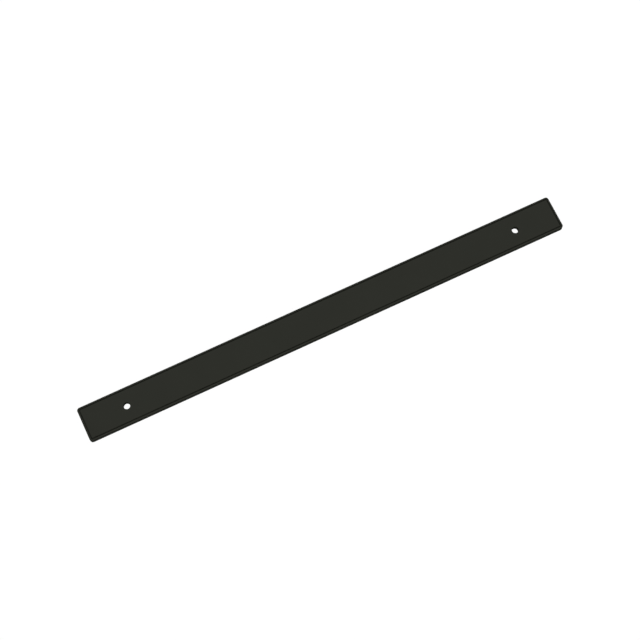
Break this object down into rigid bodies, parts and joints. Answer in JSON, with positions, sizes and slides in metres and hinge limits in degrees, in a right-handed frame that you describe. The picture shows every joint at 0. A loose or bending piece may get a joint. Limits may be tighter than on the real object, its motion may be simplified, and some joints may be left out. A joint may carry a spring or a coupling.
{
  "type": "kick plate",
  "caption": "Long, narrow kick plate: a flat bar of black coated metal with a fine border line in its face and a plain screw hole near each end.",
  "frame": {"origin": "middle of the back, in the plane that lies on the door", "axes": "+X along the plate, +Y across it, +Z away from the door, out of the face"},
  "size_m": [0.35, 0.0244, 0.0045],
  "materials": {
    "black_powder_coat": "satin black powder coat with a fine, even texture"
  },
  "bodies": {
    "root": {"kick_plate": "black_powder_coat"}
  },
  "joints": []
}
